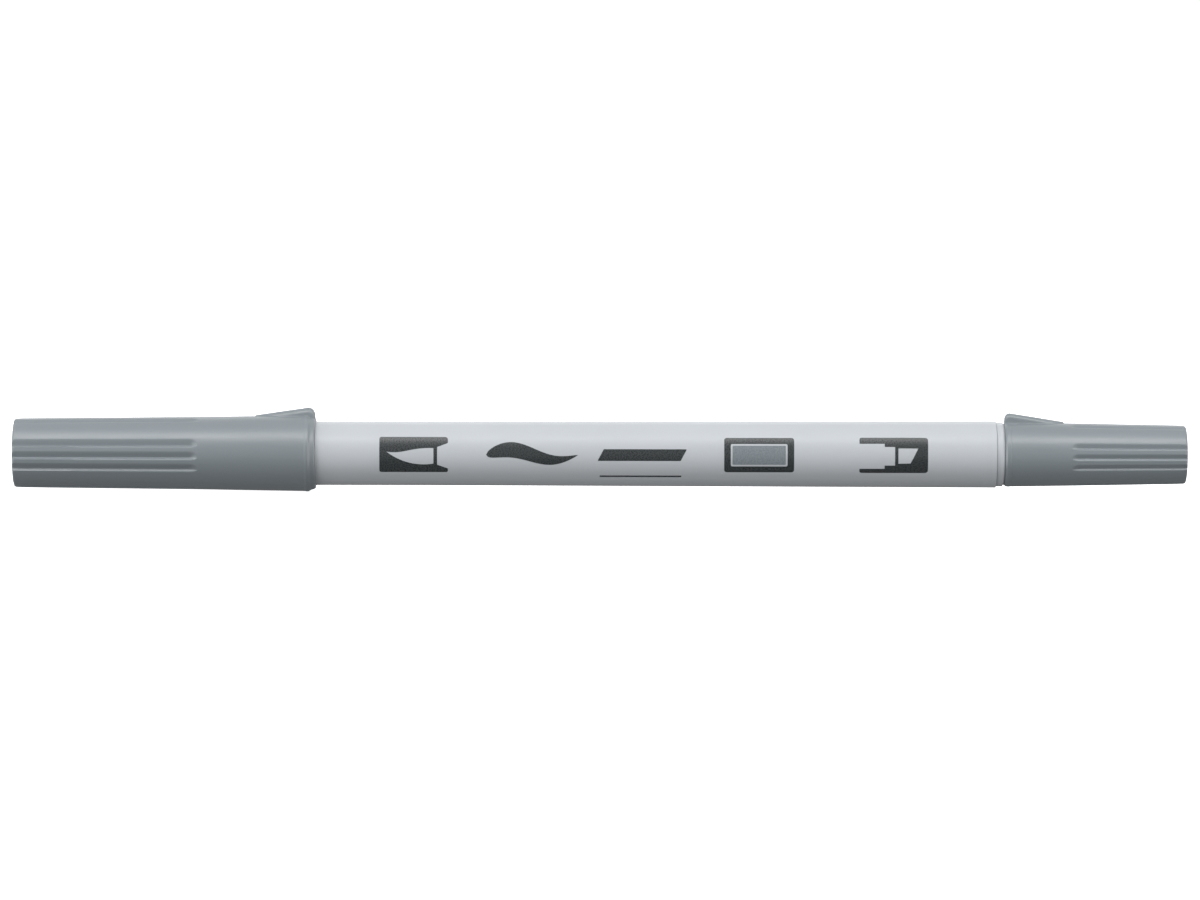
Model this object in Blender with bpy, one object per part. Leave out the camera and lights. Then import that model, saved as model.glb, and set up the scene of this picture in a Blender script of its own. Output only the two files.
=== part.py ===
"""Twin-tip felt marker with a brush nib under the long cap and a chisel nib under the short one.

The marker lies along X with its anti-roll lugs straight up (+Z), and the origin is at the bottom
centre of its box. Lengths below are millimetres; MM turns them into Blender's metres.

Everything on a nib end is laid out in that end's own frame: its origin is where the cap's rim
meets the barrel, on the marker's axis, and its +X runs towards the cap's closed end.
"""

from collections import namedtuple
from math import atan2, cos, pi, radians, sin, sqrt

import bmesh
import bpy
from mathutils import Matrix

MM = 0.001

# Overall layout along X
LENGTH = 170.0
BRUSH_CAP_LENGTH = 43.9
CHISEL_CAP_LENGTH = 26.45
BRUSH_RIM_X = -LENGTH / 2 + BRUSH_CAP_LENGTH
CHISEL_RIM_X = LENGTH / 2 - CHISEL_CAP_LENGTH

# Clearances
FIT = 0.07  # radial play between pieces that slide into each other
FACE_GAP = 0.3  # between faces that meet end to end

# Barrel
BARREL_RADIUS = 4.62
BARREL_END_RADIUS = 4.83
BARREL_TAPER_START_X = -26.0
BARREL_BORE = 3.70
BARREL_EDGE = 0.3

# Collar ring between the barrel and the short cap
COLLAR_LENGTH = 1.0
COLLAR_RADIUS = 4.65
COLLAR_NOSE_RADIUS = 4.33
COLLAR_NOSE_LENGTH = 0.25
COLLAR_SETBACK = 0.05  # from the cap's rim
BARREL_END_X = CHISEL_RIM_X - COLLAR_LENGTH - FACE_GAP

# Brush end: neck, nose cone and nib, as distances from the rim
BRUSH_SHOULDER = 1.7
SHOULDER_EDGE = 0.15
BRUSH_NECK_END = 9.9
BRUSH_NECK_RADIUS = 4.00
BRUSH_NECK_EDGE = 0.4
BRUSH_BEAD = 6.7
BRUSH_SEAL_START = 10.9
BRUSH_SEAL_END = 14.9
BRUSH_SEAL_RADIUS = 3.25
BRUSH_NOSE_TIP = 24.9
BRUSH_NOSE_RADIUS = 2.60
BRUSH_NOSE_EDGE = 0.3
BRUSH_NIB_TIP = 35.9

# Chisel end: the same features
CHISEL_NECK_END = 6.5
CHISEL_NECK_RADIUS = 3.62
CHISEL_NECK_EDGE = 0.3
CHISEL_BEAD = 3.0
CHISEL_SEAL_START = 6.9
CHISEL_SEAL_END = 9.2
CHISEL_SEAL_RADIUS = 2.88
CHISEL_NOSE_TIP = 12.3
CHISEL_NOSE_RADIUS = 2.55
CHISEL_NOSE_EDGE = 0.25
CHISEL_NIB_TIP = 18.7
CHISEL_NIB_THICKNESS = 2.5
CHISEL_NIB_SLANT = 2.3

# Both nibs
NIB_RADIUS = 1.90
NIB_ROOT_RADIUS = 1.40

# Snap bead on each neck
BEAD_HEIGHT = 0.07
BEAD_LENGTH = 1.2

# Plug of the chisel section inside the barrel
PLUG_LENGTH = 10.0
PLUG_RADIUS = BARREL_BORE - FIT
PLUG_BORE = 2.9
PLUG_EDGE = 0.3

# Ink reservoir
FILM_OUTER = 3.63
FILM_INNER = 3.48
CORE_RADIUS = 3.42
POCKET_DEPTH = 4.0

# Caps. lip and bore hold (distance from the rim, radius) points: the lip's outer side up to the
# widest place, and the bore from the mouth down to the floor. A lug's apex and foot are distances
# from the rim, its heights are above the axis, and its base lies inside the cap's wall.
CapSpec = namedtuple("CapSpec", "length lip groove_start groove_radius end_radius bore lug")
LugSpec = namedtuple("LugSpec", "apex height foot foot_height width base")
BRUSH_CAP = CapSpec(
    length=BRUSH_CAP_LENGTH,
    lip=((0.0, 5.00), (0.45, 5.22), (0.92, 5.36), (1.12, 5.56)),
    groove_start=17.2,
    groove_radius=5.27,
    end_radius=5.02,
    bore=(
        (0.0, BARREL_RADIUS + FIT + 0.12),
        (0.12, BARREL_RADIUS + FIT),
        (BRUSH_SHOULDER + FACE_GAP, BARREL_RADIUS + FIT),
        (BRUSH_SHOULDER + FACE_GAP, 4.22),
        (42.2, 4.08),
        (42.6, 3.68),
    ),
    lug=LugSpec(1.15, 6.65, 8.45, 5.58, 2.0, 4.90),
)
CHISEL_CAP = CapSpec(
    length=CHISEL_CAP_LENGTH,
    lip=((0.0, 4.36), (0.12, 4.48), (0.32, 4.60), (0.50, 4.70)),
    groove_start=9.76,
    groove_radius=4.54,
    end_radius=4.26,
    bore=((0.0, 3.92), (0.12, 3.80), (25.1, 3.46), (25.5, 3.06)),
    lug=LugSpec(0.90, 6.00, 8.30, 4.76, 1.7, 4.05),
)
CAP_END_ROUNDING = 0.4
LUG_NOSE_DROP = 0.8
LUG_EDGE = 0.25
GROOVE_WIDTH = 1.12
GROOVE_DEPTH = 0.34
GROOVE_PITCH_DEG = 20.0
GROOVE_GROUPS = 4
GROOVES_IN_GROUP = 3

# Inner caps: where the mouth and the closed end lie, and the radii
LinerSpec = namedtuple("LinerSpec", "start end inner outer flange")
BRUSH_LINER = LinerSpec(start=12.9, end=42.2, inner=BRUSH_SEAL_RADIUS + 0.1, outer=3.85, flange=4.02)
CHISEL_LINER = LinerSpec(start=7.7, end=25.0, inner=CHISEL_SEAL_RADIUS + 0.1, outer=3.37, flange=3.58)
LINER_FLOOR = 0.6
LINER_FLANGE_LENGTH = 0.9

# Facets round a turned piece
SHELL_STEPS = 48
INNER_STEPS = 32
GROOVE_STEPS = 12

AXIS_Z = BRUSH_CAP.lip[-1][1]  # the long cap's widest ring rests on the table

CAP_GREY = (0.25, 0.28, 0.30, 1.0)
BARREL_GREY = (0.60, 0.63, 0.66, 1.0)
FIBRE_WHITE = (0.83, 0.82, 0.78, 1.0)
INK_GREY = (0.24, 0.26, 0.28, 1.0)
FILM_CLEAR = (0.78, 0.82, 0.84, 1.0)
LINER_WHITE = (0.86, 0.86, 0.84, 1.0)


def material(name, colour, roughness):
    """A plain plastic or felt: no piece of the marker is metal."""
    made = bpy.data.materials.new(name)
    made.use_nodes = True
    shader = made.node_tree.nodes["Principled BSDF"]
    shader.inputs["Base Color"].default_value = colour
    shader.inputs["Roughness"].default_value = roughness
    shader.inputs["Metallic"].default_value = 0.0
    return made


def end_frame(name, rim_x, turn):
    """An empty where a cap's rim meets the barrel, turned so that +X points at the closed end."""
    frame = bpy.data.objects.new(name, None)
    frame.location = (rim_x * MM, 0.0, AXIS_Z * MM)
    frame.rotation_euler = (0.0, 0.0, turn)
    bpy.context.scene.collection.objects.link(frame)
    return frame


def add_object(name, bm, slot, parent):
    """Turn a bmesh into a shaded object under its end's frame."""
    bmesh.ops.recalc_face_normals(bm, faces=bm.faces[:])
    mesh = bpy.data.meshes.new(name)
    bm.to_mesh(mesh)
    bm.free()
    mesh.shade_smooth()
    mesh.set_sharp_from_angle(angle=radians(28.0))
    if slot:
        mesh.materials.append(slot)
    made = bpy.data.objects.new(name, mesh)
    made.parent = parent
    bpy.context.scene.collection.objects.link(made)
    return made


def spun(outline, steps):
    """Spin a closed outline of (x, radius) points, in millimetres, round the X axis."""
    bm = bmesh.new()
    ring = [bm.verts.new((x * MM, 0.0, radius * MM)) for x, radius in outline]
    for first, second in zip(ring, ring[1:] + ring[:1]):
        on_axis = first.co.z == 0.0 and second.co.z == 0.0
        if not on_axis:
            bm.edges.new((first, second))
    bmesh.ops.spin(
        bm,
        geom=bm.verts[:] + bm.edges[:],
        cent=(0.0, 0.0, 0.0),
        axis=(1.0, 0.0, 0.0),
        angle=2 * pi,
        steps=steps,
    )
    bmesh.ops.remove_doubles(bm, verts=bm.verts[:], dist=0.000001)
    bmesh.ops.recalc_face_normals(bm, faces=bm.faces[:])
    return bm


def turned(name, outline, steps, slot, parent):
    """A piece with a turned shape, under its end's frame."""
    return add_object(name, spun(outline, steps), slot, parent)


def cut_with(target, cutter, operation):
    """Leave a Boolean on the target, and keep the cutter out of the finished object."""
    cutter.hide_render = True
    cutter.display_type = "WIRE"
    step = target.modifiers.new(cutter.name, "BOOLEAN")
    step.operation = operation
    step.solver = "EXACT"
    step.object = cutter


def bead(centre, radius):
    """Outline points of a low snap ring on a neck, nearest the rim first."""
    half = BEAD_LENGTH / 2
    return [
        (centre - half, radius),
        (centre - half / 3, radius + BEAD_HEIGHT),
        (centre + half / 3, radius + BEAD_HEIGHT),
        (centre + half, radius),
    ]


def rounded_edge(x, radius, size, steps=3):
    """Outline points of a rounded outer edge that ends in the face at x."""
    points = []
    for step in range(steps + 1):
        angle = pi / 2 * step / steps
        points.append((x - size + size * sin(angle), radius - size + size * cos(angle)))
    return points


# Caps

def groove_bar(length, radius):
    """One milling bar: a rod along X with a round near end, as a mesh."""
    outline = [(0.0, 0.0)]
    for step in range(1, 5):
        angle = pi / 2 * step / 4
        outline.append((radius * (1 - cos(angle)), radius * sin(angle)))
    outline += [(length, radius), (length, 0.0)]
    bar = spun(outline, GROOVE_STEPS)
    mesh = bpy.data.meshes.new("groove_bar")
    bar.to_mesh(mesh)
    bar.free()
    return mesh


def groove_cutters(name, cap, parent):
    """The bars that mill the four groups of grip grooves, tilted to follow the cap's draft."""
    bar_radius = (GROOVE_WIDTH**2 / 4 + GROOVE_DEPTH**2) / (2 * GROOVE_DEPTH)
    lift = bar_radius - GROOVE_DEPTH
    overshoot = 2.0
    grooved = cap.length - cap.groove_start
    bar = groove_bar(grooved + overshoot, bar_radius)
    lean = Matrix.Rotation(atan2(cap.groove_radius - cap.end_radius, grooved), 4, "Y")
    place = Matrix.Translation((cap.groove_start * MM, 0.0, (cap.groove_radius + lift) * MM))
    bars = bmesh.new()
    for group in range(GROOVE_GROUPS):
        for index in range(GROOVES_IN_GROUP):
            offset = radians(GROOVE_PITCH_DEG) * (index - (GROOVES_IN_GROUP - 1) / 2)
            around = Matrix.Rotation(2 * pi * group / GROOVE_GROUPS + offset, 4, "X")
            before = set(bars.verts)
            bars.from_mesh(bar)
            fresh = [vert for vert in bars.verts if vert not in before]
            bmesh.ops.transform(bars, matrix=around @ place @ lean, verts=fresh)
    bpy.data.meshes.remove(bar)
    return add_object(name, bars, None, parent)


def lug_body(name, lug, parent):
    """A wedge that climbs from its foot to its apex, then rolls over towards the cap's rim."""
    height, width = lug.height, lug.width
    front = 0.05
    outline = [(front, lug.base)]
    for step in range(5):
        angle = pi / 2 * step / 4
        x = front + (lug.apex - front) * (1 - cos(angle))
        outline.append((x, height - LUG_NOSE_DROP * (1 - sin(angle))))
    outline += [(lug.foot, lug.foot_height), (lug.foot, lug.base)]
    bm = bmesh.new()
    side = [bm.verts.new((x * MM, -width / 2 * MM, z * MM)) for x, z in outline]
    face = bm.faces.new(side)
    grown = bmesh.ops.extrude_face_region(bm, geom=[face])
    far_side = [item for item in grown["geom"] if isinstance(item, bmesh.types.BMVert)]
    bmesh.ops.translate(bm, vec=(0.0, width * MM, 0.0), verts=far_side)
    top_edges = []
    for edge in bm.edges:
        along = abs(edge.verts[0].co.y - edge.verts[1].co.y) < 0.1 * MM
        high = max(vert.co.z for vert in edge.verts) > (height - LUG_NOSE_DROP) * MM
        if along and high:
            top_edges.append(edge)
    bmesh.ops.bevel(bm, geom=top_edges, offset=LUG_EDGE * MM, segments=2, profile=0.5, affect="EDGES")
    return add_object(name, bm, None, parent)


def cap_shell(name, cap, slot, parent):
    """A cap: rolled lip, two drafted stretches, rounded closed end, blind bore, grooves and lug."""
    outline = list(cap.lip)
    outline.append((cap.groove_start, cap.groove_radius))
    outline += rounded_edge(cap.length, cap.end_radius, CAP_END_ROUNDING)
    outline.append((cap.length, 0.0))
    floor = cap.bore[-1][0]
    outline.append((floor, 0.0))
    outline += reversed(cap.bore)
    shell = turned(name, outline, SHELL_STEPS, slot, parent)
    cut_with(shell, groove_cutters(name + "_grooves", cap, parent), "DIFFERENCE")
    cut_with(shell, lug_body(name + "_lug", cap.lug, parent), "UNION")
    return shell


def cap_liner(name, liner, slot, parent):
    """A soft inner cup whose mouth seals on the nose; a flange centres it in the cap."""
    edge = 0.12
    corner = 0.4
    floor = liner.end - LINER_FLOOR
    flange_end = liner.start + LINER_FLANGE_LENGTH
    outline = [
        (liner.start, liner.inner + edge),
        (liner.start, liner.flange),
        (flange_end, liner.flange),
        (flange_end, liner.outer),
        (liner.end - corner, liner.outer),
        (liner.end, liner.outer - corner),
        (liner.end, 0.0),
        (floor, 0.0),
        (floor, liner.inner - edge),
        (floor - edge, liner.inner),
        (liner.start + edge, liner.inner),
    ]
    return turned(name, outline, INNER_STEPS, slot, parent)


# Body

def barrel(slot, parent):
    """The moulded tube with its brush neck and nose cone, in the brush end's frame.

    +X runs towards the nose here, so the barrel's open end lies at negative x.
    """
    open_end = BRUSH_RIM_X - BARREL_END_X
    taper_start = BRUSH_RIM_X - BARREL_TAPER_START_X
    outline = [
        (open_end, BARREL_BORE + 0.1),
        (open_end, BARREL_END_RADIUS - BARREL_EDGE),
        (open_end + BARREL_EDGE, BARREL_END_RADIUS),
        (taper_start, BARREL_RADIUS),
        (BRUSH_SHOULDER - SHOULDER_EDGE, BARREL_RADIUS),
        (BRUSH_SHOULDER, BARREL_RADIUS - SHOULDER_EDGE),
        (BRUSH_SHOULDER, BRUSH_NECK_RADIUS),
    ]
    outline += bead(BRUSH_BEAD, BRUSH_NECK_RADIUS)
    outline += [
        (BRUSH_NECK_END - BRUSH_NECK_EDGE, BRUSH_NECK_RADIUS),
        (BRUSH_NECK_END, BRUSH_NECK_RADIUS - BRUSH_NECK_EDGE),
        (BRUSH_NECK_END, BRUSH_SEAL_RADIUS + 0.3),
        (BRUSH_SEAL_START, BRUSH_SEAL_RADIUS),
        (BRUSH_SEAL_END, BRUSH_SEAL_RADIUS),
    ]
    outline += rounded_edge(BRUSH_NOSE_TIP, BRUSH_NOSE_RADIUS, BRUSH_NOSE_EDGE)
    outline += [
        (BRUSH_NOSE_TIP, NIB_RADIUS + FIT),
        (BRUSH_SEAL_END, NIB_RADIUS + FIT),
        (BRUSH_SEAL_START, PLUG_BORE - 0.4),
        (0.5, PLUG_BORE),
        (-2.5, BARREL_BORE),
    ]
    return turned("barrel", outline, SHELL_STEPS, slot, parent)


def chisel_section(slot, parent):
    """The plug, collar, neck and nose cone of the chisel end, in one moulding."""
    collar_start = -COLLAR_LENGTH
    outline = [
        (collar_start, PLUG_RADIUS),
        (collar_start, COLLAR_RADIUS),
        (-COLLAR_SETBACK - COLLAR_NOSE_LENGTH, COLLAR_RADIUS),
        (-COLLAR_SETBACK, COLLAR_NOSE_RADIUS),
        (-COLLAR_SETBACK, CHISEL_NECK_RADIUS),
    ]
    outline += bead(CHISEL_BEAD, CHISEL_NECK_RADIUS)
    outline += [
        (CHISEL_NECK_END - CHISEL_NECK_EDGE, CHISEL_NECK_RADIUS),
        (CHISEL_NECK_END, CHISEL_NECK_RADIUS - CHISEL_NECK_EDGE),
        (CHISEL_NECK_END, CHISEL_SEAL_RADIUS + 0.2),
        (CHISEL_SEAL_START, CHISEL_SEAL_RADIUS),
        (CHISEL_SEAL_END, CHISEL_SEAL_RADIUS),
    ]
    outline += rounded_edge(CHISEL_NOSE_TIP, CHISEL_NOSE_RADIUS, CHISEL_NOSE_EDGE)
    outline += [
        (CHISEL_NOSE_TIP, NIB_RADIUS + FIT),
        (CHISEL_NECK_END, NIB_RADIUS + FIT),
        (CHISEL_NECK_END - 3.0, PLUG_BORE - 0.3),
        (collar_start - PLUG_LENGTH, PLUG_BORE),
        (collar_start - PLUG_LENGTH, PLUG_RADIUS - PLUG_EDGE),
        (collar_start - PLUG_LENGTH + PLUG_EDGE, PLUG_RADIUS),
    ]
    return turned("chisel_section", outline, SHELL_STEPS, slot, parent)


def reservoir(core_slot, film_slot, parent):
    """The fibre bundle with a pocket for each nib's root, in its open film sleeve."""
    start = 3.0
    length = BARREL_END_X - BRUSH_RIM_X - PLUG_LENGTH - start - FACE_GAP
    pocket = NIB_ROOT_RADIUS + FIT
    core = [
        (-start, pocket),
        (-start, CORE_RADIUS),
        (-start - length, CORE_RADIUS),
        (-start - length, pocket),
        (-start - length + POCKET_DEPTH, pocket),
        (-start - length + POCKET_DEPTH + pocket, 0.0),
        (-start - POCKET_DEPTH - pocket, 0.0),
        (-start - POCKET_DEPTH, pocket),
    ]
    turned("reservoir_core", core, INNER_STEPS, core_slot, parent)
    film = [
        (-start - 0.2, FILM_INNER),
        (-start - 0.2, FILM_OUTER),
        (-start - length + 0.2, FILM_OUTER),
        (-start - length + 0.2, FILM_INNER),
    ]
    turned("reservoir_film", film, INNER_STEPS, film_slot, parent)
    return start, length


# Nibs

def brush_nib(root_end, slot, parent):
    """A felt brush: a thin root in the reservoir, a thick shank in the nose, a pointed tip."""
    tip_length = BRUSH_NIB_TIP - BRUSH_NOSE_TIP
    outline = [
        (root_end, 0.0),
        (root_end, NIB_ROOT_RADIUS - 0.4),
        (root_end + 0.5, NIB_ROOT_RADIUS),
        (BRUSH_SEAL_END - 1.0, NIB_ROOT_RADIUS),
        (BRUSH_SEAL_END + 0.5, NIB_RADIUS),
        (BRUSH_NOSE_TIP, NIB_RADIUS),
    ]
    for step in range(1, 9):
        share = step / 8
        radius = NIB_RADIUS * sqrt(max(0.0, 1 - share**1.7))
        outline.append((BRUSH_NOSE_TIP + tip_length * share, radius))
    return turned("brush_nib", outline, INNER_STEPS, slot, parent)


def chisel_outline_prism(slot, parent):
    """A wedge-sided block with a slanted end, which leaves a chisel tip on a round rod."""
    far = CHISEL_NIB_TIP
    reach = 3.0
    bm = bmesh.new()
    sections = (
        (-30.0, reach, 0.0),
        (CHISEL_NOSE_TIP + 0.8, reach, 0.0),
        (CHISEL_NOSE_TIP + 2.0, CHISEL_NIB_THICKNESS / 2, 0.0),
        (far, CHISEL_NIB_THICKNESS / 2 - 0.15, CHISEL_NIB_SLANT),
    )
    rings = []
    for x, half, slant in sections:
        corners = ((half, reach), (-half, reach), (-half, -reach), (half, -reach))
        ring = []
        for y, z in corners:
            back = slant if z < 0 else 0.0
            ring.append(bm.verts.new(((x - back) * MM, y * MM, z * MM)))
        rings.append(ring)
    for first, second in zip(rings, rings[1:]):
        for index in range(4):
            after = (index + 1) % 4
            bm.faces.new((first[index], first[after], second[after], second[index]))
    bm.faces.new(rings[0])
    bm.faces.new(rings[-1])
    return add_object("chisel_shape", bm, slot, parent)


def chisel_nib(root_end, slot, parent):
    """A felt rod with a thin root, ground to a slanted chisel."""
    outline = [
        (root_end, 0.0),
        (root_end, NIB_ROOT_RADIUS - 0.4),
        (root_end + 0.5, NIB_ROOT_RADIUS),
        (CHISEL_NECK_END - 0.8, NIB_ROOT_RADIUS),
        (CHISEL_NECK_END + 0.5, NIB_RADIUS),
        (CHISEL_NIB_TIP, NIB_RADIUS),
        (CHISEL_NIB_TIP, 0.0),
    ]
    nib = turned("chisel_nib", outline, INNER_STEPS, slot, parent)
    cut_with(nib, chisel_outline_prism(slot, parent), "INTERSECT")
    return nib


def build():
    for old in list(bpy.data.objects):
        bpy.data.objects.remove(old, do_unlink=True)
    cap_plastic = material("cap_plastic", CAP_GREY, 0.38)
    barrel_plastic = material("barrel_plastic", BARREL_GREY, 0.38)
    liner_plastic = material("liner_plastic", LINER_WHITE, 0.5)
    fibre = material("reservoir_fibre", FIBRE_WHITE, 0.95)
    film = material("reservoir_film", FILM_CLEAR, 0.25)
    felt = material("nib_felt", INK_GREY, 0.9)

    brush_end = end_frame("brush_end", BRUSH_RIM_X, pi)
    chisel_end = end_frame("chisel_end", CHISEL_RIM_X, 0.0)

    barrel(barrel_plastic, brush_end)
    chisel_section(barrel_plastic, chisel_end)
    start, length = reservoir(fibre, film, brush_end)
    root_reach = POCKET_DEPTH - 0.5
    brush_nib(-start - root_reach, felt, brush_end)
    core_end_x = BRUSH_RIM_X + start + length
    chisel_nib(core_end_x - root_reach - CHISEL_RIM_X, felt, chisel_end)

    cap_shell("brush_cap", BRUSH_CAP, cap_plastic, brush_end)
    cap_shell("chisel_cap", CHISEL_CAP, cap_plastic, chisel_end)
    cap_liner("brush_cap_liner", BRUSH_LINER, liner_plastic, brush_end)
    cap_liner("chisel_cap_liner", CHISEL_LINER, liner_plastic, chisel_end)


build()
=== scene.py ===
"""Looks of the twin-tip felt marker: fine meshes, moulded plastic, felt, print, light and camera.

The marker lies along X with the brush cap at -X. Lengths are millimetres unless a comment says
metres. Angles round the marker start at +Z and turn towards -Y, where the camera stands.
"""

from collections import namedtuple
from math import asin, cos, hypot, pi, radians, sin, sqrt, tan

import bmesh
import bpy
from mathutils import Matrix, Vector


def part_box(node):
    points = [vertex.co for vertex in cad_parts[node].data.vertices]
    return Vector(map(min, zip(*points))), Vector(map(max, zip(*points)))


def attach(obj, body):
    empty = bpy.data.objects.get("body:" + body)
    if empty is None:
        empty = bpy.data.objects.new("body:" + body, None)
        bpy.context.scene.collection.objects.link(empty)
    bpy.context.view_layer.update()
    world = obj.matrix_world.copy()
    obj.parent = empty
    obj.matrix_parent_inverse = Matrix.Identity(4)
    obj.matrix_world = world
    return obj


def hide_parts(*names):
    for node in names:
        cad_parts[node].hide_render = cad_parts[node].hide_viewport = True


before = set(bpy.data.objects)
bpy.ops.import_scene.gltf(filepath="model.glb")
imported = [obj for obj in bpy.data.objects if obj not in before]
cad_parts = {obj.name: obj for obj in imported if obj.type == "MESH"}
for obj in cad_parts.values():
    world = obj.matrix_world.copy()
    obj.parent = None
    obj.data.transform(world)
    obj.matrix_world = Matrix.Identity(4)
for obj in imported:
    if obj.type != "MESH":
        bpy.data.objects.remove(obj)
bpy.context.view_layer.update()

MM = 0.001

# The frame's own measures, in millimetres
BRUSH_END_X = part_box("brush_cap")[0].x / MM
BRUSH_RIM_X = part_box("brush_cap")[1].x / MM
CHISEL_RIM_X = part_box("chisel_cap")[0].x / MM
CHISEL_END_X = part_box("chisel_cap")[1].x / MM
BARREL_END_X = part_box("barrel")[1].x / MM
AXIS_Z = (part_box("barrel")[0].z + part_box("barrel")[1].z) / 2 / MM
BARREL_END_RADIUS = AXIS_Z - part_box("barrel")[0].z / MM
BRUSH_CAP_LENGTH = BRUSH_RIM_X - BRUSH_END_X
CHISEL_CAP_LENGTH = CHISEL_END_X - CHISEL_RIM_X


# Small geometry helpers

def smooth_max(a, b, blend):
    """The larger of two heights, with a fillet about as wide as blend where they cross."""
    share = max(0.0, min(1.0, 0.5 + 0.5 * (a - b) / blend))
    return b + (a - b) * share + blend * share * (1 - share)


def smooth_min(a, b, blend):
    """The smaller of two heights, with the same fillet."""
    return -smooth_max(-a, -b, blend)


def bezier(points, steps):
    """Points on a quadratic or cubic curve, its ends included."""
    made = []
    for step in range(steps + 1):
        t = step / steps
        level = [Vector(point) for point in points]
        while len(level) > 1:
            level = [first.lerp(second, t) for first, second in zip(level, level[1:])]
        made.append(tuple(level[0]))
    return made


LONGEST_REACH = 0.49  # share of a side that one rounded corner may take


def rounded(corners, closed=False, steps=5):
    """A polyline through (x, y) or (x, y, rounding) corners, its rounded corners as short curves."""
    made = []
    count = len(corners)
    for index, corner in enumerate(corners):
        here = Vector(corner[:2])
        at_end = not closed and index in (0, count - 1)
        if len(corner) < 3 or at_end:
            made.append(tuple(here))
            continue
        before = Vector(corners[index - 1][:2]) - here
        after = Vector(corners[(index + 1) % count][:2]) - here
        half = before.angle(after) / 2
        longest = LONGEST_REACH * min(before.length, after.length)
        reach = min(corner[2] / tan(half), longest)
        start = here + before.normalized() * reach
        end = here + after.normalized() * reach
        made += bezier((start, here, end), steps)
    return made


def along(start, end, step):
    """Evenly spaced values from start up to end, the end left out."""
    count = max(1, round(abs(end - start) / step))
    return [start + (end - start) * index / count for index in range(count)]


def interpolated(points, x):
    """The second value at x on a polyline whose first values rise."""
    for (x0, y0), (x1, y1) in zip(points, points[1:]):
        if x0 <= x <= x1 and x1 > x0:
            return y0 + (y1 - y0) * (x - x0) / (x1 - x0)
    return points[0][1] if x < points[0][0] else points[-1][1]


def finished(name, bm, material, body, node, sharp=35.0):
    """A shaded object that rides on its body and stands for its CAD node, if it has one."""
    bmesh.ops.recalc_face_normals(bm, faces=bm.faces[:])
    mesh = bpy.data.meshes.new(name)
    bm.to_mesh(mesh)
    bm.free()
    mesh.shade_smooth()
    mesh.set_sharp_from_angle(angle=radians(sharp))
    mesh.materials.append(material)
    made = bpy.data.objects.new(name, mesh)
    bpy.context.scene.collection.objects.link(made)
    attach(made, body)
    if node:
        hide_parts(node)
    return made


def skin(rows, angles, joined):
    """A closed body from rows of (x, radius) pairs, one pair for each angle.

    joined closes the last row onto the first, as on a tube; otherwise both ends close on the axis.
    """
    bm = bmesh.new()
    rings = []
    for row in rows:
        ring = []
        for (x, radius), angle in zip(row, angles):
            y = -radius * sin(angle)
            z = AXIS_Z + radius * cos(angle)
            ring.append(bm.verts.new((x * MM, y * MM, z * MM)))
        rings.append(ring)
    pairs = list(zip(rings, rings[1:]))
    if joined:
        pairs.append((rings[-1], rings[0]))
    count = len(angles)
    for first, second in pairs:
        for index in range(count):
            after = (index + 1) % count
            bm.faces.new((first[index], first[after], second[after], second[index]))
    if not joined:
        for ring in (rings[0], rings[-1]):
            middle_x = (max(vert.co.x for vert in ring) + min(vert.co.x for vert in ring)) / 2
            pole = bm.verts.new((middle_x, 0.0, AXIS_Z * MM))
            for index in range(count):
                bm.faces.new((pole, ring[index], ring[(index + 1) % count]))
    return bm


def even_angles(count):
    """Angles for one turn round the marker."""
    return [2 * pi * index / count for index in range(count)]


def even_rows(outline, count):
    """Rows for a turned body from (x, radius) points."""
    return [[point] * count for point in outline]


# Node materials. Noise scales are cells per metre.
NOISE_LOW = 0.3  # most of a noise's values lie between these two
NOISE_HIGH = 0.7
NOISE_ROUGHNESS = 0.55
SHEEN_ROUGHNESS = 0.5


def node_material(name, roughness, sheen=0.0):
    """A new material, its Principled shader, a function that adds nodes and one that links them."""
    made = bpy.data.materials.new(name)
    made.use_nodes = True
    tree = made.node_tree
    shader = tree.nodes["Principled BSDF"]
    shader.inputs["Roughness"].default_value = roughness
    if sheen:
        shader.inputs["Sheen Weight"].default_value = sheen
        shader.inputs["Sheen Roughness"].default_value = SHEEN_ROUGHNESS

    def add(kind, **inputs):
        node = tree.nodes.new(kind)
        for key, value in inputs.items():
            node.inputs[key.replace("_", " ")].default_value = value
        return node

    return made, shader, add, tree.links.new


def object_noise(add, link, scale, detail, stretch=(1.0, 1.0, 1.0)):
    """Noise fixed to the piece; an axis with a stretch below 1 has longer cells."""
    place = add("ShaderNodeTexCoord")
    mapping = add("ShaderNodeMapping")
    mapping.inputs["Scale"].default_value = stretch
    noise = add("ShaderNodeTexNoise", Scale=scale, Detail=detail, Roughness=NOISE_ROUGHNESS)
    link(place.outputs["Object"], mapping.inputs["Vector"])
    link(mapping.outputs["Vector"], noise.inputs["Vector"])
    return noise.outputs["Fac"]


def ramp(add, link, source, stops):
    """A colour ramp over the source; stops are (position, colour)."""
    node = add("ShaderNodeValToRGB")
    band = node.color_ramp
    band.elements[0].position, band.elements[0].color = stops[0]
    band.elements[1].position, band.elements[1].color = stops[-1]
    for position, colour in stops[1:-1]:
        band.elements.new(position).color = colour
    link(source, node.inputs["Fac"])
    return node.outputs["Color"]


def remap(add, link, source, low, high, start=NOISE_LOW, end=NOISE_HIGH):
    """The source's stretch from start to end, spread from low to high."""
    node = add("ShaderNodeMapRange")
    node.inputs["From Min"].default_value = start
    node.inputs["From Max"].default_value = end
    node.inputs["To Min"].default_value = low
    node.inputs["To Max"].default_value = high
    link(source, node.inputs["Value"])
    return node.outputs["Result"]


def shade(colour, factor):
    """The colour made darker or lighter."""
    return tuple(min(1.0, channel * factor) for channel in colour[:3]) + (1.0,)


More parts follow.
